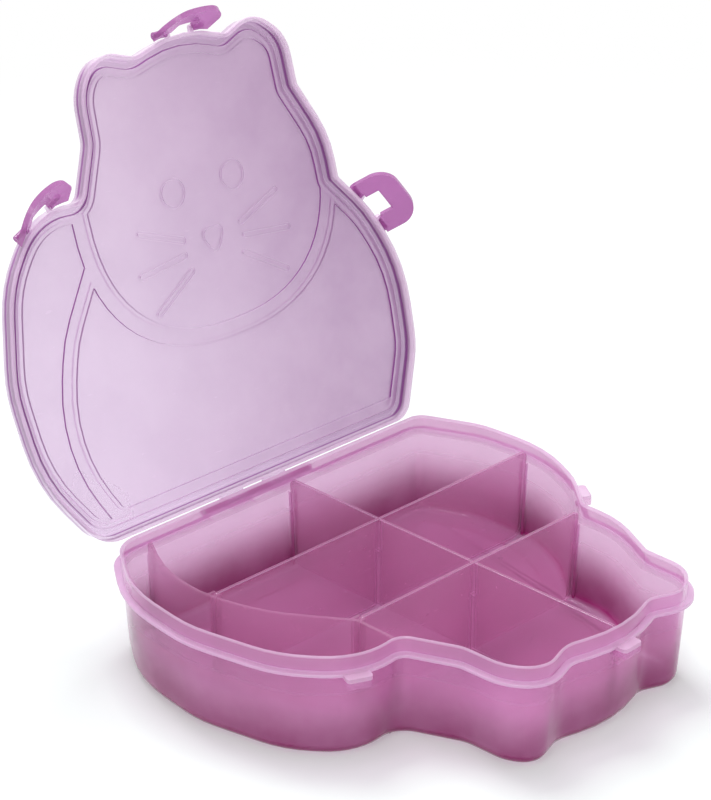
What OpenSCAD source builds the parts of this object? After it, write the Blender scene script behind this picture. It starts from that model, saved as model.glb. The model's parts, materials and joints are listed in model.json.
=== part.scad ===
// Toddler snack container in the outline of a sitting cat: a divided tray,
// a hinged lid with three latches, and lift-out dividers.
// Millimetres. +Z up, the head points to -Y, the hinge is at +Y.
// The origin is the middle of the underside, on the table.

/* [Outline seen from above] */
// Width of the box at its edge, over the cat's body
box_w = 235; // [225:1:245]
// Length of the box at its edge, from the cat's head to the hinge side
box_l = 207; // [200:1:215]
// Largest turn from one wall facet to the next, degrees
facet_turn = 9; // [6:1:12]

/* [Tray] */
// Height of the tray, from the table to the top of its lip
tray_h = 49; // [45:1:54]
// Height of the lip above the ledge that the lid rests on
lip_h = 7; // [6:0.5:8]
// Width of the ledge outside the lip
ledge_w = 2.8; // [2.4:0.1:3.2]
// Thickness of the ledge at its edge
ledge_t = 1.6; // [1.2:0.1:2.2]
// Thickness of the lip
lip_t = 1.8; // [1.5:0.1:2.1]
// Distance of the wall from the ledge's edge, just under the ledge
wall_inset = 3.4; // [3:0.1:3.8]
// Wall thickness
wall_t = 2; // [1.6:0.1:2.4]
// Draft of the walls, degrees
wall_draft = 3.4; // [2:0.2:4.4]
// Floor thickness
floor_t = 2.2; // [1.8:0.1:3]
// Outer radius between wall and underside
bottom_r = 6; // [5:0.5:8]
// Depth of the groove behind the foot rim
groove_h = 0.6; // [0.4:0.1:1]
// Width of the groove behind the foot rim
groove_w = 3; // [2:0.1:5]
// Distance of the foot rim from the end of the bottom radius
foot_gap = 0.8; // [0.6:0.1:1.4]
// Width of the foot rim
foot_w = 2.6; // [2:0.1:3.4]

/* [Dividers] */
// Thickness of the dividers
divider_t = 1.6; // [1.2:0.1:2]
// Drop of the dividers' tops below the lip
divider_drop = 3; // [2.5:0.5:4]
// Clearance between a divider and the tray or another divider
divider_gap = 0.3; // [0.25:0.05:0.4]
// Place of the long divider, from the middle to the right
long_x = 13; // [9:1:16]
// Place of the rear cross divider, from the middle to the back
rear_y = 41; // [37:1:45]
// Place of the front cross divider, from the middle to the back
front_y = -16.7; // [-18:0.1:-15.5]
// Depth of the slots in the long divider where the cross dividers drop in
lap_depth = 16; // [12:1:22]
// Corner radius at the upper ends of the dividers
divider_r = 3; // [2:0.5:5]
// Width of the guide ribs that hold the dividers' ends
rib_w = 1.2; // [1:0.1:1.6]
// Depth of the guide ribs, from the wall inwards
rib_d = 2; // [1.5:0.1:2.6]

/* [Lid] */
// Wall thickness of the lid
lid_t = 1.8; // [1.5:0.1:2]
// Gap between the closed lid's rim and the ledge
rim_gap = 0.3; // [0.2:0.1:0.4]
// Room above the lip in the lid's channel
channel_gap = 1; // [0.6:0.1:1.6]
// Clearance between the lip and the plug wall inside it
plug_gap = 0.8; // [0.5:0.1:1.2]
// Gap between the closed lid's panel and the dividers
panel_gap = 0.5; // [0.4:0.1:1]
// Draft offset of the skirt over its height
skirt_draft = 0.9; // [0.4:0.1:1.4]
// Outer radius on top of the skirt
skirt_r = 2.6; // [1.8:0.1:3]
// Height of the raised fields of the lid: face, body and tail
field_h = 1.2; // [0.8:0.1:1.5]
// Width of the flat band between the lid's edge and the raised fields
field_inset = 8.8; // [8.6:0.1:9.8]
// Depth of the face's lines on the inner side of the lid
line_depth = 0.6; // [0.4:0.1:0.8]
// Lid opening angle in which the model is drawn, degrees
lid_open = 105.5; // [90:0.5:108]

/* [Lid hinge] */
// Length of the whole hinge
hinge_len = 66; // [60:1:80]
// Number of knuckles, tray and lid in turn
knuckles = 5; // [5:2:7]
// Gap between neighbouring knuckles
knuckle_gap = 0.4; // [0.3:0.1:0.6]
// Outer radius of a knuckle
knuckle_r = 2.5; // [2.3:0.1:2.8]
// Radius of the hinge pin
pin_r = 1.2; // [1:0.1:1.4]
// Running clearance round a pin
pin_clear = 0.06; // [0.04:0.01:0.1]
// Distance of the hinge axis behind the lid's back edge
hinge_out = 3; // [2.9:0.1:3.4]
// Height of the hinge axis above or below the ledge
hinge_rise = -0.4; // [-0.6:0.1:0]

/* [Latches] */
// Width of a latch
latch_w = 31.5; // [30:0.5:33]
// Length of a latch from its hinge axis
latch_len = 19.2; // [17.5:0.1:21]
// Thickness of a latch
latch_t = 2.4; // [2:0.1:2.8]
// Corner radius at the free end of a latch
latch_r = 10; // [7:0.5:12]
// Depth of a latch's window from the hinge axis
window_len = 9; // [8.8:0.1:10]
// Clearance between a catch and the sides of the window round it
window_gap = 0.5; // [0.4:0.1:0.7]
// Gap between a closed latch and the edge of the lid
latch_gap = 0.5; // [0.4:0.1:0.8]
// Angle from closed in which the left latch is drawn, degrees
left_open = 39; // [0:1:90]
// Angle from closed in which the right latch is drawn, degrees
right_open = 37; // [0:1:90]
// Angle from closed in which the latch at the head is drawn, degrees
head_open = 24; // [0:1:90]
// Height of the latch axis above the lid's rim
latch_rise = 2; // [1.8:0.1:2.4]
// Radius of the latch pins
latch_pin_r = 0.9; // [0.8:0.1:1]
// Outer radius of the latch's clips and of the lugs that hold its pins
clip_r = 1.7; // [1.6:0.1:1.8]
// Width of a clip
clip_w = 7; // [6:0.2:7.6]
// Width of a lug
lug_w = 1.2; // [1:0.1:1.5]
// Width of a catch on the ledge
catch_w = 11.4; // [10:0.2:12]
// Height of a catch
catch_h = 5.6; // [5:0.1:5.8]
// How far a catch stands out past the ledge
catch_out = 4.6; // [3.6:0.1:4.8]
// Radius of a catch's rounded corners
catch_r = 2.4; // [1.8:0.1:2.8]

/* [Face on the lid] */
// Place of the face's middle, from the middle of the box to the right
face_x = 11.8; // [10:0.2:13]
// Place of the face's middle, from the middle of the box to the back
face_y = -36; // [-38:0.5:-34]
// Half the width of the raised face
face_a = 69; // [67:0.5:71]
// Height of the raised face above its middle
face_b = 64.9; // [62:0.1:66]
// Roundness of the face: 2 is an ellipse, more is squarer
face_power = 2.4; // [2:0.1:3]
// Width of the low band beside the face
band_w = 8; // [6:0.5:9]
// Width of the low band under the chin
chin_band = 6.3; // [5:0.1:8]
// Extra width of the low band along the hinge
back_band = 1.8; // [1:0.2:4]
// Corner radius of the body's field at the hinge
field_r = 9; // [6:0.5:10]
// Thickness of the step round a raised field
field_wall = 1.2; // [0.8:0.1:1.6]
// Distance of an eye from the middle line of the face
eye_x = 17.8; // [16:0.2:20]
// Half the width of an eye
eye_a = 7.2; // [6.4:0.2:8]
// Half the height of an eye
eye_b = 7; // [6.2:0.2:7.8]
// Distance of the nose from the line of the eyes
nose_y = 24.5; // [22:0.5:26]
// Radius of the nose
nose_r = 6; // [5:0.2:7]
// Width of the recessed lines round eyes, nose and whiskers
line_w = 1.1; // [0.9:0.1:1.4]
// Width of a whisker
whisker_w = 3.4; // [3:0.1:4]

/* [Hidden] */
lilac = [0.86, 0.66, 0.86, 0.75];
pink = [0.80, 0.50, 0.74, 0.85];
mauve = [0.78, 0.58, 0.78, 0.75];
steel = [0.75, 0.75, 0.78];
eps = 0.01;

// A corner given in shares: x of half the width, y of half the length, radius of their mean
function sized(v) = [for (c = v)
    [c[0] * box_w / 2, c[1] * box_l / 2, c[2] * (box_w + box_l) / 4]];
// Corners of the lid's and ledge's edge, clockwise from the back right
corners = sized([
    [0.864, 1, 0.104], [0.987, 0.691, 0.371], [1.009, 0.304, 0.67], [0.881, 0.005, 0.57],
    [0.74, -0.184, 0.018], [0.74, -0.377, 0.452], [0.621, -0.643, 0.014], [0.617, -0.87, 0.181],
    [0.464, -1.01, 0.163], [0.315, -0.942, 0.041], [0.111, -1.029, 0.615], [-0.14, -0.952, 0.1],
    [-0.315, -1.019, 0.145], [-0.426, -0.874, 0.226], [-0.434, -0.652, 0.095],
    [-0.519, -0.435, 0.045], [-0.723, -0.459, 0.308], [-0.919, -0.193, 0.507],
    [-1.004, 0.237, 0.579], [-0.966, 0.662, 0.679], [-0.762, 1, 0.186]]);
right_corner = 3;
head_corner = 10;
left_corner = 16;

// Course of the side divider from the back wall to the left neck
side_path = sized([[-0.604, 0.976, 0], [-0.804, 0.56, 0.633], [-0.681, 0.126, 0.543],
    [-0.5, -0.169, 0.054], [-0.5, -0.406, 0]]);

// Heights
ledge_z = tray_h - lip_h;
wall_top = ledge_z - ledge_t - 0.9;
floor_z = floor_t;
divider_top = tray_h - divider_drop;
divider_low = floor_z + divider_gap;
rim_z = ledge_z + rim_gap;
panel_z = divider_top + panel_gap;
channel_z = tray_h + channel_gap;
lid_top = channel_z + lid_t;
hinge_z = ledge_z + hinge_rise;
back_y = box_l / 2;
hinge_y = back_y + hinge_out;
latch_z = rim_z + latch_rise;

// Insets from the edge
lip_in = ledge_w + lip_t;
plug_in = lip_in + plug_gap;
inner_top = wall_inset + wall_t;
function wall_at(z) = wall_inset + (wall_top - z) * tan(wall_draft);
function cavity_at(z) = wall_t + wall_at(z);
inner_r = bottom_r - wall_t + 1;

// ---- outline ----
function unit(v) = v / norm(v);
function xy(c) = [c[0], c[1]];
function wrap(i, n) = (i + n) % n;
function heading(c, i) = unit(xy(c[wrap(i + 1, len(c))]) - xy(c[wrap(i, len(c))]));
function inward(v) = [v[1], -v[0]];
function turn_at(a, b) = atan2(cross(a, b), a * b);
function steps_at(a, b) = max(1, ceil(abs(turn_at(a, b)) / facet_turn));
// Arc of one corner of an outline that is inset by d; a hollow corner's radius grows.
function corner_arc(p, r, a, b, d) =
    let (na = inward(a), nb = inward(b), t = turn_at(a, b), s = t < 0 ? 1 : -1,
        m = (na + nb) / (1 + na * nb), rho = max(r - s * d, 0.3),
        c = p + m * (d + s * rho), n = steps_at(a, b), h = atan2(na[1], na[0]))
    [for (k = [0:n]) c - s * rho * [cos(h + t * k / n), sin(h + t * k / n)]];
function outline(d) = [for (i = [0:len(corners) - 1])
    each corner_arc(xy(corners[i]), corners[i][2], heading(corners, i - 1), heading(corners, i), d)];
// A path with rounded corners, moved sideways by d to its right.
function path(c, d) = concat(
    [xy(c[0]) + d * inward(heading(c, 0))],
    [for (i = [1:len(c) - 2])
        each corner_arc(xy(c[i]), c[i][2], heading(c, i - 1), heading(c, i), d)],
    [xy(c[len(c) - 1]) + d * inward(heading(c, len(c) - 2))]);
function reversed(v) = [for (i = [len(v) - 1:-1:0]) v[i]];
function strip(c, a, b) = concat(path(c, a), reversed(path(c, b)));
// Point on a corner's arc at fraction t, and the direction that it faces.
function corner_turn(i) = turn_at(heading(corners, i - 1), heading(corners, i));
function seat_angle(i, t) =
    let (n = inward(heading(corners, i - 1))) atan2(-n[1], -n[0]) + corner_turn(i) * t;
function seat_point(i, t) =
    let (a = heading(corners, i - 1), b = heading(corners, i), na = inward(a), nb = inward(b),
        r = corners[i][2], g = seat_angle(i, t))
    xy(corners[i]) + (na + nb) / (1 + na * nb) * r + r * [cos(g), sin(g)];

// Seats of catches and latches: corner, place on its arc, drawn angle of the latch
left_seat = [left_corner, 0.535, left_open];
right_seat = [right_corner, 0.5, right_open];
head_seat = [head_corner, 0.53, head_open];
seats = [left_seat, right_seat, head_seat];
// Frame of a seat: x outwards, y along the edge, origin on the edge
module at_seat(s) {
    translate(seat_point(s[0], s[1])) rotate(seat_angle(s[0], s[1])) children();
}

// Skin through rings of the outline; each profile point is [inset, height].
// It is closed by a cap at either end or, as a ring, by a strip from the last point to the first.
module skin(profile, ring = false) {
    n = len(outline(0));
    m = len(profile);
    points = [for (p = profile) each [for (q = outline(p[0])) [q[0], q[1], p[1]]]];
    sides = [for (j = [0:ring ? m - 1 : m - 2]) for (i = [0:n - 1])
        let (k = (i + 1) % n, a = j * n, b = ((j + 1) % m) * n)
        each [[a + i, a + k, b + k], [a + i, b + k, b + i]]];
    caps = ring ? [] : [[for (i = [n - 1:-1:0]) i], [for (i = [0:n - 1]) (m - 1) * n + i]];
    polyhedron(points, concat(sides, caps), convexity = 12);
}

// Places where the outline, inset by d, crosses the line on which axis i has this value
function crossings(v, i, value) = [for (k = [0:len(v) - 1])
    let (p = v[k], q = v[(k + 1) % len(v)]) if ((p[i] - value) * (q[i] - value) <= 0 && p[i] != q[i])
        p[1 - i] + (q[1 - i] - p[1 - i]) * (value - p[i]) / (q[i] - p[i])];
function wall_place(i, value, side, d) =
    side * max([for (c = crossings(outline(d), i, value)) side * c]);

// Quarter round as profile points, centred at inset c and height z, from angle a to b.
function fillet_points(c, z, r, a, b, n) =
    [for (k = [0:n]) let (g = a + (b - a) * k / n) [c - r * cos(g), z + r * sin(g)]];

// ---- tray ----
foot_in = wall_at(bottom_r) + bottom_r + foot_gap;
tray_profile = concat(
    [[foot_in + foot_w + groove_w + groove_h, 0], [foot_in + foot_w + groove_w, groove_h],
    [foot_in + foot_w + groove_h, groove_h], [foot_in + foot_w, 0]],
    fillet_points(wall_at(bottom_r) + bottom_r, bottom_r, bottom_r, -90, 0, 4),
    [[wall_inset, wall_top], [wall_inset - 0.5, ledge_z - ledge_t - 0.2],
    [0.4, ledge_z - ledge_t], [0, ledge_z - ledge_t + 0.4], [0, ledge_z - 0.4], [0.4, ledge_z],
    [ledge_w, ledge_z], [ledge_w, tray_h - 0.5], [ledge_w + 0.5, tray_h], [lip_in - 1.1, tray_h],
    [lip_in, tray_h - 1.1], [lip_in, ledge_z - 0.2], [inner_top, wall_top]],
    reversed(fillet_points(cavity_at(floor_z + inner_r) + inner_r, floor_z + inner_r, inner_r,
        -90, 0, 4)));

// Pair of ribs beside a divider's end: p holds the places of their four corners along the divider,
// which lies on the line where axis i has this value.
rib_high = divider_top - 2;
module rib_pair(p, turn) {
    for (s = [-1, 1]) rotate([90, 0, turn])
        translate([0, 0, s * (divider_t / 2 + divider_gap + rib_w / 2) - rib_w / 2])
            linear_extrude(rib_w) polygon([[p[0], floor_z - 0.8], [p[1], floor_z - 0.8],
                [p[2], wall_top], [p[3], wall_top]]);
}
function rib_insets() = [wall_at(floor_z) + 2.4, cavity_at(floor_z) + rib_d,
    cavity_at(wall_top) + rib_d, wall_at(wall_top) + 1];
module wall_ribs(i, value, side) {
    p = [for (d = rib_insets()) wall_place(i, value, side, d)];
    translate(i == 1 ? [0, value, 0] : [value, 0, 0]) rib_pair(p, i == 1 ? 0 : 90);
}
module guide_ribs() {
    wall_ribs(0, long_x, 1);
    wall_ribs(0, long_x, -1);
    wall_ribs(1, rear_y, 1);
    wall_ribs(1, front_y, 1);
    wall_ribs(0, side_path[4][0], -1);
    slant = heading(side_path, 0);
    edge = xy(side_path[0]) + slant * (back_y - side_path[0][1]) / slant[1];
    translate([edge[0], edge[1], 0])
        rib_pair([for (d = rib_insets()) -d / slant[1]], atan2(slant[1], slant[0]));
}

// Catch on the ledge with a flat top, round below; the latch's window drops over it
catch_top = ledge_z - 0.3;
module catch() {
    root = wall_inset + wall_t / 2;
    intersection() {
        translate([0, catch_w / 2, 0]) rotate([90, 0, 0]) linear_extrude(catch_w) polygon(concat(
            [[-root, catch_top - catch_h], [-root, catch_top], [catch_out - 0.5, catch_top]],
            [for (g = [0:-15:-90]) [catch_out, catch_top - catch_h + catch_r]
                + catch_r * [cos(g) - 1, sin(g)]]));
        rotate([90, 0, 90]) translate([0, 0, -root]) linear_extrude(root + catch_out)
            polygon(concat([[-catch_w / 2, ledge_z], [catch_w / 2, ledge_z]], [for (m = [0, 1])
                for (g = [0:-15:-90]) let (h = m == 0 ? g : -90 - g, e = m == 0 ? 1 : -1)
                [e * (catch_w / 2 - catch_r + catch_r * cos(h)),
                catch_top - catch_h + catch_r + catch_r * sin(h)]]));
        linear_extrude(ledge_z) polygon(concat([[-root, catch_w / 2], [-root, -catch_w / 2]],
            [for (m = [-1, 1]) for (g = [0:15:90]) let (h = m == 1 ? g : g - 90)
                [catch_out - catch_r + catch_r * cos(h),
                m * (catch_w / 2 - catch_r) + catch_r * sin(h)]]));
    }
}

module hinge_place() {
    translate([0, hinge_y, hinge_z]) rotate([0, 90, 0]) children();
}
pitch = hinge_len / knuckles;
module knuckle(i) {
    translate([0, 0, -hinge_len / 2 + i * pitch + knuckle_gap / 2])
        cylinder(r = knuckle_r, h = pitch - knuckle_gap, $fn = 48);
}
module web(i, low, high, reach) {
    translate([-hinge_len / 2 + i * pitch + knuckle_gap / 2, hinge_y - reach, low])
        cube([pitch - knuckle_gap, reach, high - low]);
}

module base_tray() {
    color(lilac) difference() {
        union() {
            skin(tray_profile);
            guide_ribs();
            for (s = seats) at_seat(s) catch();
            for (i = [0:2:knuckles - 1]) {
                hinge_place() knuckle(i);
                web(i, ledge_z - ledge_t - 1, ledge_z - 0.3, hinge_out + wall_inset + 0.8);
            }
        }
        hinge_place() cylinder(r = pin_r + pin_clear, h = hinge_len + 2, center = true, $fn = 32);
    }
}

module hinge_pin() {
    color(steel) hinge_place() cylinder(r = pin_r, h = hinge_len - 1, center = true, $fn = 32);
}

// ---- dividers ----
// Side view of a divider between two walls: a and b are its ends at the walls' tops,
// low_a and low_b the same where the lower corners begin.
sheet_r = inner_r + 1;
function arc(x, z, r, from, to) =
    [for (g = [from:(to - from) / 6:to + (to - from) / 20]) [x + r * cos(g), z + r * sin(g)]];
function sheet(a, low_a, b, low_b) = concat(
    arc(low_a + sheet_r, divider_low + sheet_r, sheet_r, 180, 270),
    arc(low_b - sheet_r, divider_low + sheet_r, sheet_r, 270, 360),
    arc(b - divider_r, divider_top - divider_r, divider_r, 0, 90),
    arc(a + divider_r, divider_top - divider_r, divider_r, 90, 180));
end_gap = divider_gap + 0.3;
// Where a divider on this line ends, at the walls' tops and at the lower corners
function divider_end(i, value, side, z) =
    side * min([for (s = [-1, 1])
        side * wall_place(i, value + s * divider_t / 2, side, cavity_at(z) + end_gap)]);
low_z = divider_low + sheet_r;

// Slot round a crossing divider, cut from height low to height high
module slot(x, low, high) {
    translate([x - divider_t / 2 - divider_gap, low, -divider_t])
        cube([divider_t + 2 * divider_gap, high - low, 3 * divider_t]);
}
lap_z = divider_top - lap_depth;

module long_divider() {
    color(mauve) translate([long_x + divider_t / 2, 0, 0]) rotate([90, 0, 90])
        translate([0, 0, -divider_t]) difference() {
            linear_extrude(divider_t) polygon(sheet(
                divider_end(0, long_x, -1, wall_top), divider_end(0, long_x, -1, low_z),
                divider_end(0, long_x, 1, wall_top), divider_end(0, long_x, 1, low_z)));
            for (y = [rear_y, front_y]) slot(y, lap_z, divider_top + 1);
        }
}
// A divider across the tray; its left end stands between the side divider's rails.
module cross_divider(y) {
    left = side_x(y) + (divider_t / 2 + divider_gap) / sin(atan2(-side_slope(y)[1], side_slope(y)[0]))
        + divider_t / 2 * abs(side_slope(y)[0] / side_slope(y)[1]);
    color(mauve) translate([0, y + divider_t / 2, 0]) rotate([90, 0, 0]) difference() {
        linear_extrude(divider_t) polygon(sheet(left, left,
            divider_end(1, y, 1, wall_top), divider_end(1, y, 1, low_z)));
        slot(long_x, 0, lap_z + divider_gap);
    }
}
// The piece of the side divider's centre line at the line y: its point there and its direction
function side_piece(y) = [for (p = [path(side_path, 0)]) for (i = [0:len(p) - 2])
    if (p[i][1] >= y && p[i + 1][1] < y) [p[i], p[i + 1]]][0];
function side_slope(y) = let (p = side_piece(y)) unit(p[1] - p[0]);
function side_x(y) = let (p = side_piece(y), d = p[1] - p[0]) p[0][0] + d[0] * (y - p[0][1]) / d[1];
module rear_cross_divider() { cross_divider(rear_y); }
module front_cross_divider() { cross_divider(front_y); }
module side_divider() {
    x0 = side_path[4][0];
    x1 = side_path[0][0] + 1;
    color(mauve) intersection() {
        rotate([90, 0, 90]) translate([0, 0, corners[18][0]]) linear_extrude(x1 - corners[18][0] + 60)
            polygon(sheet(divider_end(0, x0, -1, wall_top), divider_end(0, x0, -1, low_z),
                divider_end(0, x1, 1, wall_top), divider_end(0, x1, 1, low_z)));
        translate([0, 0, divider_low - 1]) union() {
            linear_extrude(divider_top - divider_low + 2)
                polygon(strip(side_path, -divider_t / 2, divider_t / 2));
            for (y = [rear_y, front_y]) for (s = [-1, 1])
                translate([side_x(y), y + s * (divider_t / 2 + divider_gap + rib_w / 2) - rib_w / 2, 0])
                    cube([divider_t / 2 + divider_gap + rib_d + 1, rib_w, divider_top - divider_low + 1]);
        }
    }
}

// ---- lid, drawn closed and then opened about the hinge ----
module opened() {
    translate([0, hinge_y, hinge_z]) rotate([-lid_open, 0, 0]) translate([0, -hinge_y, -hinge_z])
        children();
}
function skirt_in(z) = skirt_draft * (z - rim_z) / (lid_top - skirt_r - rim_z);
rim_profile = concat(
    [[field_inset - 1.2, panel_z + 0.8], [plug_in + 0.4, panel_z + 0.2], [plug_in, panel_z + 0.7],
    [plug_in - 0.2, channel_z - 0.3], [plug_in - 0.6, channel_z], [lid_t + 0.9, channel_z],
    [lid_t + 0.5, channel_z - 0.6], [lid_t, rim_z], [0.4, rim_z], [0, rim_z + 0.4]],
    fillet_points(skirt_draft + skirt_r, lid_top - skirt_r, skirt_r, 0, 90, 4),
    [[plug_in + 0.6, lid_top], [plug_in + lid_t - 0.4, lid_top - 0.6],
    [plug_in + lid_t + 0.2, panel_z + lid_t + 0.4], [plug_in + lid_t + 0.8, panel_z + lid_t - 0.3]]);

// Rounded oval of the face: a closed curve between an ellipse and a rectangle
function oval(a, b) = [for (g = [0:6:354]) [
    a * sign(cos(g)) * pow(abs(cos(g)), 2 / face_power),
    b * sign(sin(g)) * pow(abs(sin(g)), 2 / face_power)]];
module face_shape(side, chin) {
    translate([face_x, face_y]) {
        polygon(oval(face_a + side, face_b + chin));
        translate([-face_a - side, -2 * face_b]) square([2 * (face_a + side), 2 * face_b]);
    }
}
// Low band along the side divider: its edges as distances from the divider's middle
tail_edge = 3.1;
body_edge = 3.5;
// Fields of face, tail and body, all set back by this much
module raised_fields(back) {
    tail_side = concat(path(side_path, tail_edge + back), [[-box_w, -box_l / 4], [-box_w, box_l]]);
    field_y = back_y - field_inset - back_band;
    start = xy(side_path[0]);
    slant = heading(side_path, 0);
    hinge_corner = start + slant * (field_y + body_edge - start[1]) / slant[1];
    body_path = concat([[box_w, hinge_corner[1], 0], [hinge_corner[0], hinge_corner[1], field_r]],
        [for (i = [1:4]) side_path[i]]);
    intersection() {
        polygon(outline(field_inset + back));
        union() {
            face_shape(-back, -back);
            difference() {
                union() {
                    polygon(tail_side);
                    polygon(concat(path(body_path, -body_edge - back), [[box_w, -box_l / 4]]));
                }
                face_shape(band_w + back, chin_band + back);
            }
        }
    }
}
// Place of the middle between the eyes, from the middle of the raised face
line_x = -1.6;
line_y = 1;
// Whiskers on one side, from the middle line and the line of the eyes: both ends
whiskers = [[17.5, 21.9, 41, 13], [18.3, 28.4, 44.5, 31.4], [16, 36.3, 39, 50]];
// Breadth of the three soft corners of the nose, as a share of its radius
nose_swell = 0.14;
module ring2d(a, b) {
    difference() {
        polygon([for (g = [0:15:345]) [a * cos(g), b * sin(g)]]);
        polygon([for (g = [0:15:345]) [(a - line_w) * cos(g), (b - line_w) * sin(g)]]);
    }
}
module bar2d(p, q, w) {
    d = unit(q - p);
    n = [-d[1], d[0]] * w / 2;
    a = atan2(d[1], d[0]);
    polygon(concat([for (g = [90:30:270]) p + w / 2 * [cos(a + g), sin(a + g)]],
        [for (g = [-90:30:90]) q + w / 2 * [cos(a + g), sin(a + g)]]));
}
module nose2d(w) {
    polygon([for (g = [0:20:340]) let (r = w * (1 + nose_swell * cos(3 * (g - 90))))
        [r * cos(g), r * sin(g)]]);
}
module face_lines() {
    translate([face_x + line_x, face_y + line_y]) {
        for (s = [-1, 1]) {
            translate([s * eye_x, 0]) ring2d(eye_a, eye_b);
            for (w = whiskers) difference() {
                bar2d([s * w[0], w[1]], [s * w[2], w[3]], whisker_w);
                bar2d([s * w[0], w[1]], [s * w[2], w[3]], whisker_w - 1.6 * line_w);
            }
        }
        translate([0, nose_y]) difference() {
            nose2d(nose_r);
            nose2d(nose_r - line_w);
        }
    }
}

// Panel of the lid: a plate, with its fields raised outside and hollow inside
module lid_panel() {
    difference() {
        union() {
            translate([0, 0, panel_z]) linear_extrude(lid_t) polygon(outline(plug_in + 0.7));
            translate([0, 0, panel_z + lid_t - 0.2]) linear_extrude(field_h + 0.2)
                raised_fields(-field_wall / 2);
        }
        translate([0, 0, panel_z - 1]) linear_extrude(field_h + 1) raised_fields(field_wall / 2);
        translate([0, 0, panel_z + field_h - 1]) linear_extrude(line_depth + 1) face_lines();
    }
}

window_w = catch_w + 2 * window_gap;
lug_r = clip_r - 0.3;
lug_gap = 0.3;
lug_y = (window_w + lug_w) / 2;
clip_y = window_w / 2 + lug_w + lug_gap + clip_w / 2;
// How far the edge has bent away from its tangent, y along it: on the arc or past its nearer end
function sag_at(s, y) = min([for (h = [s[1], 1 - s[1]])
    let (r = corners[s[0]][2], g = h * abs(corner_turn(s[0])), m = r * sin(g))
    y < m ? r - sqrt(r * r - y * y) : r * (1 - cos(g)) + (y - m) * tan(g)]);
// Radius of the curve that a latch follows, to keep clear of the edge over its whole width
function bend_r(s) = let (w = latch_w / 2, e = sag_at(s, w)) (w * w + e * e) / (2 * e);
// The hinge axis stands off just enough for the clips to turn clear of the skirt.
function axis_x(s) = clip_r + lug_gap - sag_at(s, clip_y - clip_w / 2) - skirt_in(latch_z);
module along_axis(s, y, length, radius) {
    translate([axis_x(s), y - length / 2, latch_z]) rotate([-90, 0, 0])
        cylinder(r = radius, h = length, $fn = 32);
}
// Two lugs at the window's sides, each with a pin that points outwards
module latch_mounts(s) {
    root = sag_at(s, lug_y + lug_w / 2) + lid_t * 0.65;
    for (m = [-1, 1]) {
        along_axis(s, m * (clip_y - lug_w / 2 - lug_gap), clip_w + lug_w, latch_pin_r);
        along_axis(s, m * lug_y, lug_w, lug_r);
        translate([-root, m * lug_y - lug_w / 2, latch_z - lug_r])
            cube([root + axis_x(s), lug_w, 2 * lug_r]);
    }
}

module lid() {
    color(lilac) opened() difference() {
        union() {
            skin(rim_profile, ring = true);
            lid_panel();
            for (s = seats) at_seat(s) latch_mounts(s);
            for (i = [1:2:knuckles - 2]) {
                hinge_place() knuckle(i);
                web(i, rim_z + 0.4, rim_z + 3, hinge_out + lid_t / 2 + 0.3);
            }
        }
        hinge_place() cylinder(r = pin_r + pin_clear, h = hinge_len + 2, center = true, $fn = 32);
    }
}

// ---- latch: a curved plate with a window, clipped on the lid's pins ----
module latch_outline() {
    low = latch_z - latch_len;
    notch = lug_r + 2 * lug_gap;
    difference() {
        union() {
            translate([-latch_w / 2, low + latch_r]) square([latch_w, latch_len - latch_r]);
            translate([-latch_w / 2 + latch_r, low]) square([latch_w - 2 * latch_r, latch_r + 1]);
            for (m = [-1, 1]) translate([m * (latch_w / 2 - latch_r), low + latch_r])
                circle(latch_r, $fn = 48);
        }
        translate([-window_w / 2, latch_z - window_len]) square([window_w, window_len + 1]);
        translate([clip_w / 2 - clip_y, latch_z - notch]) square([2 * clip_y - clip_w, notch + 1]);
    }
}
module latch_closed(s) {
    r = bend_r(s);
    difference() {
        union() {
            intersection() {
                rotate([90, 0, 90]) translate([0, 0, -r / 2]) linear_extrude(r) latch_outline();
                translate([-r, 0, latch_z - latch_len - 1]) difference() {
                    cylinder(r = r + latch_gap + latch_t, h = latch_len + 2, $fn = 180);
                    translate([0, 0, -1]) cylinder(r = r + latch_gap, h = latch_len + 4, $fn = 180);
                }
            }
            for (m = [-1, 1]) along_axis(s, m * clip_y, clip_w, clip_r);
        }
        for (m = [-1, 1]) along_axis(s, m * (clip_y + 1), clip_w + 4, latch_pin_r + pin_clear);
    }
}
module latch(s) {
    color(pink) opened() at_seat(s)
        translate([axis_x(s), 0, latch_z]) rotate([0, -s[2], 0]) translate([-axis_x(s), 0, -latch_z])
            latch_closed(s);
}
module left_latch() { latch(left_seat); }
module right_latch() { latch(right_seat); }
module head_latch() { latch(head_seat); }

base_tray();
lid();
hinge_pin();
left_latch();
right_latch();
head_latch();
long_divider();
rear_cross_divider();
front_cross_divider();
side_divider();
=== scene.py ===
"""Looks of a toddler snack container: frosted lilac plastic, three latches, lift-out dividers."""

import json
import logging
import math
from dataclasses import dataclass, field, replace
from enum import Enum

import bpy
from mathutils import Matrix, Vector

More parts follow.
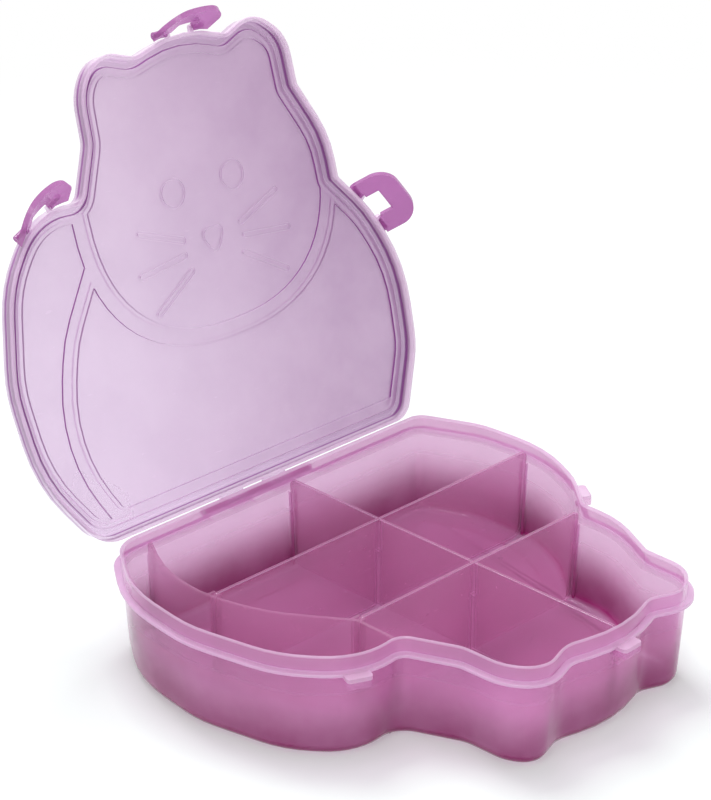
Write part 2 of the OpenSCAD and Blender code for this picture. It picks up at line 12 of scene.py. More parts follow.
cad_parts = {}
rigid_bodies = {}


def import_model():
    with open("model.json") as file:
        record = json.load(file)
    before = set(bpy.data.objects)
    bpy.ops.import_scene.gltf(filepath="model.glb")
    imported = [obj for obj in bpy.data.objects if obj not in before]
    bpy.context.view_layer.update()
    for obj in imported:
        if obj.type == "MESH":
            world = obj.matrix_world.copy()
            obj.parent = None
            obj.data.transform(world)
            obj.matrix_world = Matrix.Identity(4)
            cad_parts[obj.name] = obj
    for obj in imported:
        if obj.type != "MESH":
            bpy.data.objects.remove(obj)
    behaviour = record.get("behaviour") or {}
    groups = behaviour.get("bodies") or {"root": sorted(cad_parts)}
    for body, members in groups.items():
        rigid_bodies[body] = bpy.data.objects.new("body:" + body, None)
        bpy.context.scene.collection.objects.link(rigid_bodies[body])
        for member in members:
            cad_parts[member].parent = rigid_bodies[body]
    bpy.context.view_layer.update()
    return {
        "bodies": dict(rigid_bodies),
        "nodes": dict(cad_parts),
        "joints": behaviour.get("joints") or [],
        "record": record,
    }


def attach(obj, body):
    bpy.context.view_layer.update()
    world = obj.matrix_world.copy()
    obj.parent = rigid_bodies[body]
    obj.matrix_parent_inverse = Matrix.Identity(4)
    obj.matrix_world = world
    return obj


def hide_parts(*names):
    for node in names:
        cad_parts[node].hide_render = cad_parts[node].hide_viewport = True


log = logging.getLogger("snack_container")
MM = 0.001
UP = Vector((0, 0, 1))
Triple = tuple[float, float, float]
Colour = Triple
WHITE: Colour = (1.0, 1.0, 1.0)


# ---------------------------------------------------------------- shader maths
class Level:
    """A number that changes over a surface, with Python's operators as Math nodes."""

    def __init__(self, tree: bpy.types.NodeTree, socket: bpy.types.NodeSocket) -> None:
        """Wraps one output socket of a shader tree."""
        self.tree = tree
        self.socket = socket

    def _math(self, operation: str, *terms: "Level | float") -> "Level":
        """Adds one Math node.

        Args:
            operation: the Math node's operation.
            terms: its inputs in order, as numbers or levels.

        Returns:
            The node's value.
        """
        node = self.tree.nodes.new("ShaderNodeMath")
        node.operation = operation
        for socket, term in zip(node.inputs, terms):
            if isinstance(term, Level):
                self.tree.links.new(term.socket, socket)
            else:
                socket.default_value = term
        return Level(self.tree, node.outputs[0])

    def __add__(self, other: "Level | float") -> "Level":
        """Sum."""
        return self._math("ADD", self, other)

    def __radd__(self, other: float) -> "Level":
        """Sum with a number on the left."""
        return self._math("ADD", other, self)

    def __sub__(self, other: "Level | float") -> "Level":
        """Difference."""
        return self._math("SUBTRACT", self, other)

    def __rsub__(self, other: float) -> "Level":
        """Difference from a number."""
        return self._math("SUBTRACT", other, self)

    def __mul__(self, other: "Level | float") -> "Level":
        """Product."""
        return self._math("MULTIPLY", self, other)

    def __rmul__(self, other: float) -> "Level":
        """Product with a number on the left."""
        return self._math("MULTIPLY", other, self)

    def __abs__(self) -> "Level":
        """Size without sign."""
        return self._math("ABSOLUTE", self)

    def __pow__(self, power: float) -> "Level":
        """Power."""
        return self._math("POWER", self, power)

    def larger(self, other: "Level | float") -> "Level":
        """The larger of two levels."""
        return self._math("MAXIMUM", self, other)

    def step(self, start: float, end: float) -> "Level":
        """A smooth rise from 0 at start to 1 at end; end may lie below start.

        Args:
            start: where the rise begins.
            end: where it is complete.

        Returns:
            The rise as a level from 0 to 1.
        """
        node = self.tree.nodes.new("ShaderNodeMapRange")
        node.interpolation_type = "SMOOTHSTEP"
        self.tree.links.new(self.socket, node.inputs["Value"])
        flip = end < start
        node.inputs["From Min"].default_value = end if flip else start
        node.inputs["From Max"].default_value = start if flip else end
        rise = Level(self.tree, node.outputs["Result"])
        return 1 - rise if flip else rise


class Recipe:
    """One material: its nodes are added by kind, and its numbers are levels."""

    def __init__(self, name: str) -> None:
        """Starts an empty material around a Principled shader."""
        self.material = bpy.data.materials.new(name)
        self.material.use_nodes = True
        self.tree = self.material.node_tree
        self.shader = self.tree.nodes["Principled BSDF"]
        coordinates = self.add("ShaderNodeTexCoord")
        self.place = coordinates.outputs["Object"]
        self.normal = coordinates.outputs["Normal"]

    def add(
        self, kind: str, settings: dict | None = None, links: dict | None = None
    ) -> bpy.types.Node:
        """Adds a node.

        Args:
            kind: the node's type.
            settings: its attributes, such as a Math node's operation.
            links: its inputs by name or number, as numbers, colours, levels or sockets.

        Returns:
            The new node.
        """
        node = self.tree.nodes.new(kind)
        for key, value in (settings or {}).items():
            setattr(node, key, value)
        for key, value in (links or {}).items():
            socket = node.inputs[key]
            if isinstance(value, Level):
                self.tree.links.new(value.socket, socket)
            elif isinstance(value, bpy.types.NodeSocket):
                self.tree.links.new(value, socket)
            elif socket.type == "RGBA":
                socket.default_value = (*value, 1.0)
            else:
                socket.default_value = value
        return node

    def level(self, socket: bpy.types.NodeSocket) -> Level:
        """A socket as a level."""
        return Level(self.tree, socket)

    def mapped(
        self,
        place: bpy.types.NodeSocket,
        turn: Triple = (0.0, 0.0, 0.0),
        scale: Triple = (1.0, 1.0, 1.0),
    ) -> bpy.types.NodeSocket:
        """Coordinates that are stretched and turned.

        Args:
            place: the coordinates to start from.
            turn: the turn about X, Y and Z in radians.
            scale: the stretch along X, Y and Z.

        Returns:
            The new coordinates.
        """
        links = {"Vector": place, "Rotation": turn, "Scale": scale}
        return self.add("ShaderNodeMapping", {"vector_type": "POINT"}, links).outputs[0]

    def noise(
        self, size: float, detail: float, place: bpy.types.NodeSocket | None = None
    ) -> Level:
        """Cloudy noise.

        Args:
            size: the size of its clouds in metres.
            detail: how many finer layers it has.
            place: coordinates, or the object's own.

        Returns:
            The noise from 0 to 1.
        """
        links = {
            "Vector": place or self.place,
            "Scale": 1 / size,
            "Detail": detail,
            "Roughness": 0.55,
        }
        return self.level(self.add("ShaderNodeTexNoise", links=links).outputs["Fac"])

    def turned(self, pivot: Vector, angle: float) -> bpy.types.NodeSocket:
        """Object coordinates turned about the X axis round a pivot.

        Args:
            pivot: a point that ends up at the origin.
            angle: the turn in radians.

        Returns:
            The coordinates, measured from the pivot.
        """
        links = {0: self.place, 1: tuple(pivot)}
        moved = self.add("ShaderNodeVectorMath", {"operation": "SUBTRACT"}, links)
        return self.mapped(moved.outputs[0], turn=(angle, 0, 0))

    def parts(self, vector: bpy.types.NodeSocket) -> tuple[Level, Level, Level]:
        """The X, Y and Z of a vector as levels."""
        node = self.add("ShaderNodeSeparateXYZ", links={0: vector})
        return tuple(self.level(o) for o in node.outputs)

    def facing(self, direction: Vector) -> Level:
        """How squarely a surface faces along a direction of the piece, forwards or backwards.

        Args:
            direction: a unit vector in the piece's own axes.

        Returns:
            1 where the surface lies across the direction, 0 where it runs along it.
        """
        links = {0: self.normal, 1: tuple(direction)}
        node = self.add("ShaderNodeVectorMath", {"operation": "DOT_PRODUCT"}, links)
        return abs(self.level(node.outputs["Value"]))

    def blend(
        self,
        share: Level,
        low: Colour | bpy.types.NodeSocket,
        high: Colour | bpy.types.NodeSocket,
    ) -> bpy.types.NodeSocket:
        """A colour between two.

        Args:
            share: 0 gives low and 1 gives high.
            low: the first colour.
            high: the second colour.

        Returns:
            The colour's socket.
        """
        links = {0: share, 6: low, 7: high}
        return self.add("ShaderNodeMix", {"data_type": "RGBA"}, links).outputs[2]

    def mix(
        self, share: Level | float, first: bpy.types.Node, second: bpy.types.Node
    ) -> bpy.types.Node:
        """A shader between two.

        Args:
            share: 0 gives the first and 1 gives the second.
            first: the first shader.
            second: the second shader.

        Returns:
            The mixed shader.
        """
        links = {0: share, 1: first.outputs[0], 2: second.outputs[0]}
        return self.add("ShaderNodeMixShader", links=links)

    def finish(self, shader: bpy.types.Node) -> None:
        """Makes a shader the material's surface."""
        surface = self.tree.nodes["Material Output"].inputs["Surface"]
        self.tree.links.new(shader.outputs[0], surface)

    def drive(self, name: str, value: Level | bpy.types.NodeSocket) -> None:
        """Feeds one of the shader's inputs with a level or a colour."""
        socket = value.socket if isinstance(value, Level) else value
        self.tree.links.new(socket, self.shader.inputs[name])

    def set(self, **values: float) -> None:
        """Sets uniform inputs of the shader; a name's spaces are written as underscores."""
        for name, value in values.items():
            self.shader.inputs[name.replace("_", " ")].default_value = value

    def relief(self, height: Level, depth: float, strength: float) -> None:
        """Adds bump.

        Args:
            height: the relief from 0 to 1.
            depth: its depth in metres.
            strength: how much of it shows.
        """
        links = {"Height": height, "Distance": depth, "Strength": strength}
        self.drive("Normal", self.add("ShaderNodeBump", links=links).outputs["Normal"])


# ---------------------------------------------------------------- finishes
@dataclass(frozen=True)
class Veil:
    """How a plastic lets the view and the light behind it through, and how its gloss lies on it."""

    tint: Colour
    bare: Colour = (1.0, 0.98, 1.0)
    square_gloss: float = 0.02
    grazing_gloss: float = 0.6
    grazing_power: int = 5

    def lay(
        self,
        recipe: Recipe,
        cover: Level,
        inner: Colour,
        through: Level | float,
        gloss: float,
        painted_light_untinted: Level | float = 0.0,
    ) -> None:
        """Finishes a material: tinted view, glow from behind, own colour and gloss over all.

        Args:
            recipe: the material, whose Principled shader has its colour.
            cover: how much of the view the surface covers, from 0 to 1.
            inner: the colour in which it glows when it is lit from behind.
            through: the share of that glow in the surface's own light.
            gloss: the roughness of the gloss.
            painted_light_untinted: how much of the tint is left out where light is painted, from 0
                to 1.
        """
        glow = recipe.add("ShaderNodeBsdfTranslucent", links={"Color": inner})
        own = recipe.mix(through, recipe.shader, glow)
        tinted = recipe.add("ShaderNodeBsdfTransparent", links={"Color": self.tint})
        bare = recipe.add("ShaderNodeBsdfTransparent", links={"Color": self.bare})
        film = recipe.mix(cover, recipe.mix(painted_light_untinted, tinted, bare), own)
        weight = recipe.add("ShaderNodeLayerWeight", links={"Blend": 0.5})
        grazing = recipe.level(weight.outputs["Facing"]) ** self.grazing_power
        shine = recipe.add("ShaderNodeBsdfGlossy", links={"Color": WHITE, "Roughness": gloss})
        recipe.finish(recipe.mix(grazing * self.grazing_gloss + self.square_gloss, film, shine))


@dataclass(frozen=True)
class Marks:
    """The fine patterns of the plastic: wide clouds, smaller flow marks, grain and scratches.

    The sizes are in metres. A band is the part of a noise in which its pattern rises from
    none to all, and the other values say how strongly a pattern changes depth of colour,
    cover, roughness and relief, on walls and on rounded edges.
    """

    cloud: float = 34 * MM
    cloud_band: tuple[float, float] = (0.3, 0.7)
    cloud_depth: float = 0.18
    cloud_cover: float = 0.05
    flow: float = cloud / 5
    flow_depth: float = 0.1
    flow_roughness: float = 0.06
    flow_relief: float = 0.3
    grain: float = 0.35 * MM
    grain_relief: float = 0.5
    scratch: float = 6 * MM
    scratch_turn: Triple = (0.3, 0.2, 0.7)
    scratch_stretch: Triple = (1.0, 9.0, 5.0)
    scratch_band: tuple[float, float] = (0.66, 0.74)
    scratch_cover: float = 0.03
    scratch_roughness: float = 0.09
    scratch_relief: float = 0.2
    relief: float = 0.05 * MM
    relief_strength: float = 0.1
    edge_flow: float = cloud / 4
    edge_band: tuple[float, float] = (0.35, 0.7)
    edge_paleness: float = 0.5
    edge_roughness: float = 0.12
    edge_cover: float = 0.1


MARKS = Marks()


@dataclass(frozen=True)
class FrostedPlastic:
    """Tinted polypropylene: see-through, with faint flow clouds, fine frosting and scuffs.

    The colours are the plain colour (pale), the deep colour of the clouds and of the painted
    shade (deep), the painted highlight of rounded edges and of places where light is painted
    (edge), the glow from behind (inner) and the view through one surface (tint). Cover is the
    share of the view that a wall hides; more is added to it where shade or light is painted, and
    edge_cover is the share on rounded edges. Through is the share of the glow from behind, gloss
    the roughness of the gloss over all, and a further share says how much of the tint is left out
    where light is painted. Frost is the roughness that places without painted shade have over those
    with it.
    """

    name: str
    pale: Colour
    deep: Colour
    edge: Colour
    inner: Colour
    tint: Colour
    cover: float = 0.3
    painted_shade_cover: float = 0.2
    edge_cover: float = 0.6
    painted_light_cover: float = 0.3
    through: float = 0.4
    gloss: float = 0.1
    painted_light_untinted: float = 0.0
    roughness: float = 0.24
    frost: float = 0.14
    painted_shade_depth: float = 0.8
    edge_roughness: float = 0.12
    edge_gloss: float = 0.6

    def start(self, name: str) -> Recipe:
        """Sets the uniform values of the plastic.

        Args:
            name: the material's name.

        Returns:
            The recipe, ready for its patterns.
        """
        recipe = Recipe(name)
        recipe.set(IOR=1.49, Specular_IOR_Level=0.25)
        return recipe

    def painted_shade(self, recipe: Recipe) -> Level | float:
        """Where shade is painted deep into the colour: 0 for none, 1 for all."""
        return 0.0

    def painted_light(self, recipe: Recipe) -> Level | float:
        """Where light is painted into the colour, making it pale, from 0 to 1."""
        return 0.0

    def wall(self) -> bpy.types.Material:
        """Builds the material of the walls, with clouds, frosting, scuffs, mould texture, painted
        shade and painted light.

        Returns:
            The finished material.
        """
        recipe = self.start(self.name)
        painted_shade, painted_light = self.painted_shade(recipe), self.painted_light(recipe)
        cloud = recipe.noise(MARKS.cloud, 3.0)
        flow = recipe.noise(MARKS.flow, 4.0)
        grain = recipe.noise(MARKS.grain, 2.0)
        streaks = recipe.mapped(recipe.place, MARKS.scratch_turn, MARKS.scratch_stretch)
        scratch = recipe.noise(MARKS.scratch, 5.0, streaks).step(*MARKS.scratch_band)
        # the clouds and flow marks vary the colour's depth at random; the painted shade deepens it
        # further
        depth = (
            cloud.step(*MARKS.cloud_band) * MARKS.cloud_depth
            + flow * MARKS.flow_depth
            + painted_shade * self.painted_shade_depth
        )
        colour = recipe.blend(depth, self.pale, self.deep)
        # where light is painted, the colour turns to the pale colour of the painted highlight
        if isinstance(painted_light, Level):
            colour = recipe.blend(painted_light, colour, self.edge)
        recipe.drive("Base Color", colour)
        frosted = self.roughness + (1 - painted_shade) * self.frost
        worn = flow * MARKS.flow_roughness + scratch * MARKS.scratch_roughness
        recipe.drive("Roughness", frosted + worn)
        raised = grain * MARKS.grain_relief + flow * MARKS.flow_relief
        texture = raised - scratch * MARKS.scratch_relief
        recipe.relief(texture, MARKS.relief, MARKS.relief_strength)
        cover = (
            self.cover
            + painted_shade * self.painted_shade_cover
            + painted_light * self.painted_light_cover
            + (cloud - 0.5) * MARKS.cloud_cover
            + scratch * MARKS.scratch_cover
        )
        through = (1 - painted_shade) * self.through
        Veil(self.tint).lay(recipe, cover, self.inner, through, self.gloss, painted_light * self.painted_light_untinted)
        return recipe.material

    def edges(self) -> bpy.types.Material:
        """Builds the material of the rounded edges, with a highlight painted along them in a pale
        colour.

        Returns:
            The finished material.
        """
        recipe = self.start(f"{self.name}_edge")
        flow = recipe.noise(MARKS.edge_flow, 3.0)
        share = flow.step(*MARKS.edge_band) * MARKS.edge_paleness
        # a pale highlight is painted along the rounded edges, flecked paler by the flow noise
        recipe.drive("Base Color", recipe.blend(share, self.edge, self.pale))
        recipe.drive("Roughness", self.edge_roughness + flow * MARKS.edge_roughness)
        cover = self.edge_cover + (flow - 0.5) * MARKS.edge_cover
        gloss = self.gloss * self.edge_gloss
        Veil(self.tint).lay(recipe, cover, self.edge, self.through, gloss)
        return recipe.material


@dataclass(frozen=True)
class TrayPlastic(FrostedPlastic):
    """The tray's plastic: painted shade deepens its walls towards the foot, and painted highlights
    lie on its lip and ledge.

    Top, ledge, middle, deepest and foot are heights over the table: of the lip's top, of the
    ledge's top, where the painted shade on the walls begins, where it is complete and where the
    rounded foot begins, below which it grows further. The rims, bands of painted highlight, are
    measured down from the top, up from the ledge and down from its underside. Upright and level
    say how squarely a face looks up.
    """

    top: float = 49 * MM
    ledge: float = 42 * MM
    ledge_thick: float = 1.8 * MM
    middle: float = 37 * MM
    deepest: float = 4 * MM
    foot: float = 7 * MM
    wall_depth: float = 0.85
    foot_depth: float = 0.5
    floor_relief: float = 0.75
    upright: float = 0.55
    level: float = 0.95
    top_rim: tuple[float, float] = (1.4 * MM, 0.6 * MM)
    ledge_rim: tuple[float, float] = (0.7 * MM, 0.2 * MM)
    underside_rim: float = 0.4 * MM
    lip_rim: float = 1.0 * MM
    lip_painted_light: float = 0.3

    def level_faces(self, recipe: Recipe) -> Level:
        """1 on faces that lie level, 0 on upright ones."""
        return recipe.facing(UP).step(self.upright, self.level)

    def painted_shade(self, recipe: Recipe) -> Level:
        """Painted shade: deep low on the walls and most at the rounded foot, but less on level
        faces.
        """
        height = recipe.parts(recipe.place)[2]
        walls = height.step(self.middle, self.deepest) * self.wall_depth
        low = walls + height.step(self.foot, 0.0) * self.foot_depth
        return low * (1 - self.level_faces(recipe) * self.floor_relief)

    def painted_light(self, recipe: Recipe) -> Level:
        """Painted highlights: pale on the lip's top and round the ledge, and a little on the lip.
        """
        height = recipe.parts(recipe.place)[2]
        rim = height.step(*(self.top - down for down in self.top_rim))
        underside = self.ledge - self.ledge_thick
        above = height.step(underside - self.underside_rim, underside)
        ledge = above * height.step(*(self.ledge + up for up in self.ledge_rim))
        lip = height.step(self.ledge, self.ledge + self.lip_rim) * self.lip_painted_light
        return rim.larger(ledge).larger(lip)


@dataclass(frozen=True)
class LidPlastic(FrostedPlastic):
    """The lid's plastic: a frosted panel, with shade painted deeper on one side and in the walls of
    its relief.

    Pivot, opened and outwards say how the lid stands: the hinge's place, its turn from closed
    and the way that the panel's outside faces. Panel is the height of the panel over the
    hinge when the lid is closed; the relief begins below it and ends and fades above it, and
    light is painted pale on the skirt below it. Sloped says how far a face leans before it is a
    wall. Reach is the band away from the hinge and breadth the band across the lid in which
    the painted shade deepens.
    """

    pivot: Vector = Vector((0, 0, 0))
    opened: float = 0.0
    outwards: Vector = Vector((0, 0, 1))
    panel: float = 4.9 * MM
    relief_start: float = 1.0 * MM
    relief_top: float = 0.6 * MM
    relief_fade: float = 2 * MM
    skirt: float = 1.5 * MM
    sloped: tuple[float, float] = (0.16, 0.65)
    reach: tuple[float, float] = (10 * MM, 120 * MM)
    breadth: tuple[float, float] = (-90 * MM, 110 * MM)
    reach_depth: float = 0.12
    side_depth: float = 0.5
    relief_depth: float = 1.3
    wall_depth: float = 0.05

    def painted_shade(self, recipe: Recipe) -> Level:
        """Painted shade: deep in the walls of the relief, and a little towards the face and the
        plain side.
        """
        side = recipe.parts(recipe.place)[0]
        _, away, across = recipe.parts(recipe.turned(self.pivot, self.opened))
        walls = (1 - recipe.facing(self.outwards)).step(*self.sloped)
        top = self.panel + self.relief_top
        above = across.step(self.panel - self.relief_start, self.panel)
        relief = above * across.step(top + self.relief_fade, top)
        panel = abs(away).step(*self.reach) * self.reach_depth
        panel = panel + side.step(*self.breadth) * self.side_depth
        return panel.larger(walls * (relief * self.relief_depth + self.wall_depth))

    def painted_light(self, recipe: Recipe) -> Level:
        """Painted light: pale on the skirt, below the panel."""
        across = recipe.parts(recipe.turned(self.pivot, self.opened))[2]
        return across.step(self.panel, self.panel - self.skirt)


@dataclass(frozen=True)
class PinSteel:
    """Drawn steel wire of the hinge pin."""

    name: str = "pin_steel"
    colour: Colour = (0.62, 0.62, 0.65)
    dark_share: float = 0.8
    line: float = 0.25 * MM
    stretch: Triple = (0.05, 1.0, 1.0)
    roughness: float = 0.22
    line_roughness: float = 0.2
    relief: float = 0.02 * MM
    relief_strength: float = 0.4

    def make(self) -> bpy.types.Material:
        """Builds the material.

        Returns:
            The finished material.
        """
        recipe = Recipe(self.name)
        recipe.set(Metallic=1.0)
        lines = recipe.mapped(recipe.place, scale=self.stretch)
        drawn = recipe.noise(self.line, 3.0, lines)
        dark = tuple(self.dark_share * c for c in self.colour)
        recipe.drive("Base Color", recipe.blend(drawn, dark, self.colour))
        recipe.drive("Roughness", self.roughness + drawn * self.line_roughness)
        recipe.relief(drawn, self.relief, self.relief_strength)
        return recipe.material


# deep is also the colour of the painted shade low on the walls; edge is the colour of the painted
# highlights on the rounded edges, the lip and the ledge
TRAY = TrayPlastic(
    "tray_plastic",
    pale=(0.90, 0.47, 0.78),
    deep=(0.31, 0.015, 0.15),
    edge=(0.95, 0.76, 0.97),
    inner=(0.74, 0.30, 0.56),
    tint=(0.957, 0.845, 0.95),
    cover=0.28,
    painted_shade_cover=0.72,
    edge_cover=0.75,
    through=0.3,
)
# edge is the colour of the painted highlight on the latches' rounded edges
LATCH = FrostedPlastic(
    "latch_plastic",
    pale=(0.51, 0.16, 0.45),
    deep=(0.38, 0.10, 0.32),
    edge=(0.93, 0.70, 0.93),
    inner=(0.56, 0.24, 0.52),
    tint=(0.88, 0.66, 0.88),
    cover=0.54,
    edge_cover=0.8,
    roughness=0.18,
    frost=0.05,
)
# edge is the colour of the painted highlight on the dividers' rounded edges
DIVIDER = FrostedPlastic(
    "divider_plastic",
    pale=(0.78, 0.41, 0.63),
    deep=(0.44, 0.16, 0.33),
    edge=(0.86, 0.58, 0.82),
    inner=(0.72, 0.38, 0.56),
    tint=(0.94, 0.81, 0.91),
    cover=0.34,
    edge_cover=0.5,
)
# deep is also the colour of the painted shade in the relief walls and across the panel; edge is the
# colour of the painted light on the skirt and of the painted highlight on the rounded edges
LID = LidPlastic(
    "lid_plastic",
    pale=(0.89, 0.68, 0.86),
    deep=(0.30, 0.07, 0.32),
    edge=(0.98, 0.78, 0.97),
    inner=(0.82, 0.60, 0.81),
    tint=(0.95, 0.885, 0.967),
    cover=0.27,
    painted_shade_cover=0.5,
    painted_light_cover=0.05,
    edge_cover=0.45,
    gloss=0.38,
    painted_light_untinted=0.8,
)


# ---------------------------------------------------------------- pieces
class Slot(Enum):
    """Material slots of the record."""

    TRAY = "tray"
    LID = "lid"
    LATCH = "latch"
    DIVIDER = "divider"
    PIN = "pin"


def select_only(piece: bpy.types.Object) -> None:
    """Deselects everything and makes one object active."""
    bpy.ops.object.select_all(action="DESELECT")
    piece.select_set(True)
    bpy.context.view_layer.objects.active = piece


@dataclass
class Moulding:
    """One moulded piece: the solid's form, with its edges broken and its curves smoothed."""

    frame: dict
    node: str
    body: str
    slot: Slot
    finishes: tuple[bpy.types.Material, ...]
    edge: float
    weld: float = 0.002 * MM
    flat_angle: float = 0.4
    edge_angle: float = 38.0
    smooth_angle: float = 32.0
    piece: bpy.types.Object = field(init=False, default=None)

    def copy_form(self) -> None:
        """Copies the solid's mesh and joins its loose triangles into clean faces."""
        mesh = self.frame["nodes"][self.node].data.copy()
        mesh.materials.clear()
        for finish in self.finishes:
            mesh.materials.append(finish)
        self.piece = bpy.data.objects.new(f"{self.node}_moulding", mesh)
        bpy.context.scene.collection.objects.link(self.piece)
        select_only(self.piece)
        bpy.ops.object.mode_set(mode="EDIT")
        bpy.ops.mesh.select_all(action="SELECT")
        bpy.ops.mesh.remove_doubles(threshold=self.weld)
        bpy.ops.mesh.dissolve_limited(angle_limit=math.radians(self.flat_angle))
        bpy.ops.object.mode_set(mode="OBJECT")

    def break_edges(self) -> None:
        """Rounds the sharp edges a little, as a mould does; they get the last finish, a painted
        highlight.
        """
        bevel = self.piece.modifiers.new("edges", "BEVEL")
        bevel.limit_method = "ANGLE"
        bevel.angle_limit = math.radians(self.edge_angle)
        bevel.width = self.edge
        bevel.segments = 2
        bevel.use_clamp_overlap = True
        bevel.material = len(self.finishes) - 1
        select_only(self.piece)
        bpy.ops.object.modifier_apply(modifier=bevel.name)

    def dress(self) -> None:
        """Smooths the shading and joins the piece to its body."""
        select_only(self.piece)
        bpy.ops.object.shade_smooth_by_angle(angle=math.radians(self.smooth_angle))
        level = self.piece.modifiers.new("level_faces", "WEIGHTED_NORMAL")
        level.keep_sharp = True
        bpy.ops.object.modifier_apply(modifier=level.name)
        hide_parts(self.node)
        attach(self.piece, self.body)

    def build(self) -> None:
        """Builds the piece and reports it."""
        self.copy_form()
        self.break_edges()
        self.dress()
        faces = len(self.piece.data.polygons)
        log.info("%s: %d faces on %s", self.piece.name, faces, self.body)


@dataclass
class SnackContainer:
    """The container: tray, lid, hinge pin, latches and dividers."""

    frame: dict
    tray_edge: float = 0.3 * MM
    lid_edge: float = 0.12 * MM
    pin_edge: float = 0.15 * MM
    latch_edge: float = 0.6 * MM
    divider_edge: float = 0.35 * MM
    pieces: list[Moulding] = field(default_factory=list)

    def lid_finish(self) -> LidPlastic:
        """The lid's plastic, which knows how the lid stands.

        Returns:
            The finish.
        """
        hinge = next(j for j in self.frame["joints"] if j["name"] == "lid_hinge")
        opened = math.radians(-hinge["range_deg"][0])
        turn = Matrix.Rotation(opened, 3, Vector(hinge["axis"]) * -1)
        return replace(LID, pivot=Vector(hinge["pos_m"]), opened=opened, outwards=turn @ UP)

    def add(
        self,
        node: str,
        body: str,
        slot: Slot,
        finishes: tuple[bpy.types.Material, ...],
        edge: float,
    ) -> None:
        """Adds a moulding to the list.

        Args:
            node: the solid that it dresses.
            body: the body that carries it.
            slot: its material slot; it is kept on the moulding but not used.
            finishes: its materials, the last one, a painted highlight, for the rounded edges.
            edge: the width of its rounded edges.
        """
        self.pieces.append(Moulding(self.frame, node, body, slot, finishes, edge))

    def build(self) -> None:
        """Builds every piece in order."""
        tray, lid, latch, divider = [
            (finish.wall(), finish.edges()) for finish in (TRAY, self.lid_finish(), LATCH, DIVIDER)
        ]
        self.add("base_tray", "tray", Slot.TRAY, tray, self.tray_edge)
        self.add("lid", "lid", Slot.LID, lid, self.lid_edge)
        self.add("hinge_pin", "tray", Slot.PIN, (PinSteel().make(),), self.pin_edge)
        for node in ("left_latch", "right_latch", "head_latch"):
            self.add(node, node, Slot.LATCH, latch, self.latch_edge)
        for node in ("long_divider", "rear_cross_divider", "front_cross_divider", "side_divider"):
            self.add(node, node, Slot.DIVIDER, divider, self.divider_edge)
        for piece in self.pieces:
            piece.build()


# ---------------------------------------------------------------- studio
@dataclass(frozen=True)
class Lamp:
    """A soft square lamp: where it hangs, its power in watts and the length of its sides."""

    name: str
    place: Vector
    power: float
    size: float

    def hang(self, aim: Vector) -> None:
        """Hangs the lamp so that it looks at a point."""
        data = bpy.data.lights.new(self.name, "AREA")
        data.energy = self.power
        data.size = self.size
        lamp = bpy.data.objects.new(self.name, data)
        lamp.location = self.place
        lamp.rotation_euler = (self.place - aim).to_track_quat("Z", "Y").to_euler()
        bpy.context.scene.collection.objects.link(lamp)


LAMPS = (
    Lamp("key_lamp", Vector((-0.9, -0.6, 1.5)), 7.5, 0.9),
    Lamp("fill_lamp", Vector((1.0, -1.0, 0.9)), 2.0, 1.0),
    Lamp("top_lamp", Vector((0.2, 0.78, 1.72)), 27.0, 0.85),
)


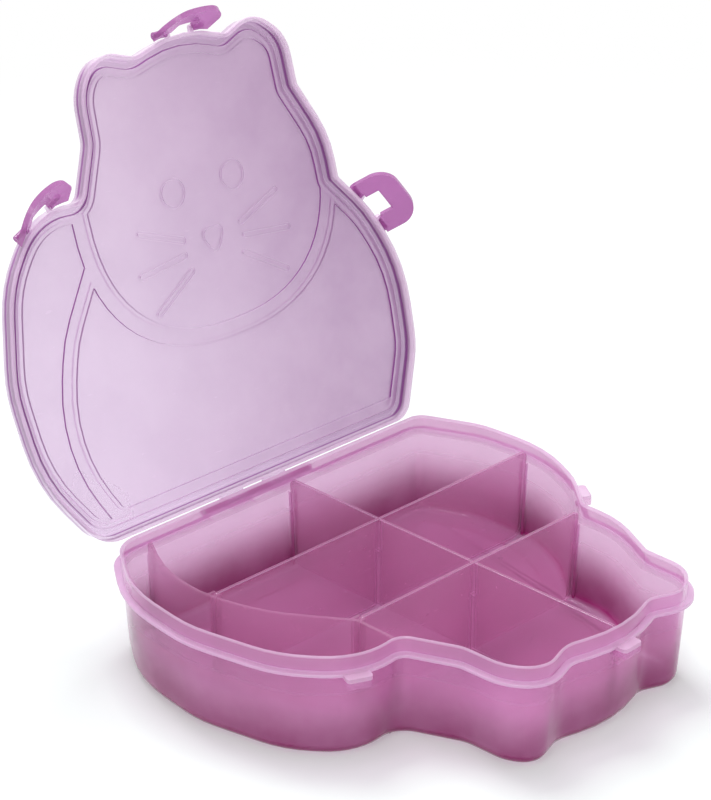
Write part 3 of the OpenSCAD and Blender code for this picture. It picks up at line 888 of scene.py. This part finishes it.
@dataclass
class Studio:
    """Pale floor, soft light and the camera.

    The camera looks along azimuth and elevation, from a distance, at the aim, and is moved
    sideways and up in its own plane. Whitening is the share of plain white in the seen floor
    near the object, and it grows to all between the shadow's reach and its end. Room is the
    strength of the room's light on the object.
    """

    azimuth: float = -44.95
    elevation: float = 24.75
    distance: float = 1166.67 * MM
    aim: Vector = Vector((0, 0, 49 * MM))
    side_shift: float = -30.1 * MM
    rise: float = 65.77 * MM
    lens: float = 121.7
    sensor: float = 36.0
    floor_size: float = 6.0
    floor_drop: float = 0.2 * MM
    floor_colour: Colour = (0.875, 0.94, 0.92)
    whitening: float = 0.26
    shadow_reach: float = 0.3
    shadow_end: float = 0.9
    room: float = 0.4
    room_colour: Colour = (1.0, 0.99, 1.0)

    def camera(self) -> None:
        """Places the camera at the photograph's angle."""
        a, e = math.radians(self.azimuth), math.radians(self.elevation)
        back = Vector((math.sin(a) * math.cos(e), -math.cos(a) * math.cos(e), math.sin(e)))
        right = Vector((math.cos(a), math.sin(a), 0))
        up = back.cross(right)
        data = bpy.data.cameras.new("camera")
        data.lens = self.lens
        data.sensor_width = self.sensor
        camera = bpy.data.objects.new("camera", data)
        bpy.context.scene.collection.objects.link(camera)
        turn = Matrix((right, up, back)).transposed().to_4x4()
        place = self.aim + back * self.distance + right * self.side_shift + up * self.rise
        camera.matrix_world = Matrix.Translation(place) @ turn
        bpy.context.scene.camera = camera

    def seen(self, tree: bpy.types.NodeTree) -> Level:
        """1 for rays from the camera, directly or by way of gloss or glass.

        Args:
            tree: the shader tree that asks.

        Returns:
            The level.
        """
        path = tree.nodes.new("ShaderNodeLightPath")
        level = Level(tree, path.outputs["Is Camera Ray"])
        for name in ("Is Glossy Ray", "Is Transmission Ray"):
            level = level.larger(Level(tree, path.outputs[name]))
        return level

    def world(self) -> None:
        """A soft white room, seen as plain white."""
        world = bpy.data.worlds.new("room")
        world.use_nodes = True
        tree = world.node_tree
        ground = tree.nodes["Background"]
        ground.inputs["Color"].default_value = (*self.room_colour, 1.0)
        strength = self.seen(tree) * (1 - self.room) + self.room
        tree.links.new(strength.socket, ground.inputs["Strength"])
        bpy.context.scene.world = world

    def floor(self) -> None:
        """A pale floor that keeps the object's shadow and runs into the white room."""
        bpy.ops.mesh.primitive_plane_add(size=self.floor_size, location=(0, 0, -self.floor_drop))
        floor = bpy.context.object
        floor.name = "floor"
        recipe = Recipe("floor_white")
        recipe.set(Roughness=0.7, Specular_IOR_Level=0.1)
        recipe.shader.inputs["Base Color"].default_value = (*self.floor_colour, 1.0)
        light = recipe.add("ShaderNodeEmission", links={"Color": WHITE, "Strength": 1.0})
        across, along, _ = recipe.parts(recipe.place)
        distance = (across * across + along * along) ** 0.5
        far = distance.step(self.shadow_reach, self.shadow_end)
        white = self.seen(recipe.tree) * (far * (1 - self.whitening) + self.whitening)
        recipe.finish(recipe.mix(white, recipe.shader, light))
        floor.data.materials.append(recipe.material)

    def build(self) -> None:
        """Builds the studio."""
        self.camera()
        self.world()
        self.floor()
        for lamp in LAMPS:
            lamp.hang(self.aim)
        bpy.context.scene.view_settings.view_transform = "Standard"


def main() -> None:
    """Loads the frame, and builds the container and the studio."""
    logging.basicConfig(level=logging.INFO, format="%(name)s: %(message)s")
    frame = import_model()
    SnackContainer(frame).build()
    Studio().build()


if __name__ == "__main__":
    main()
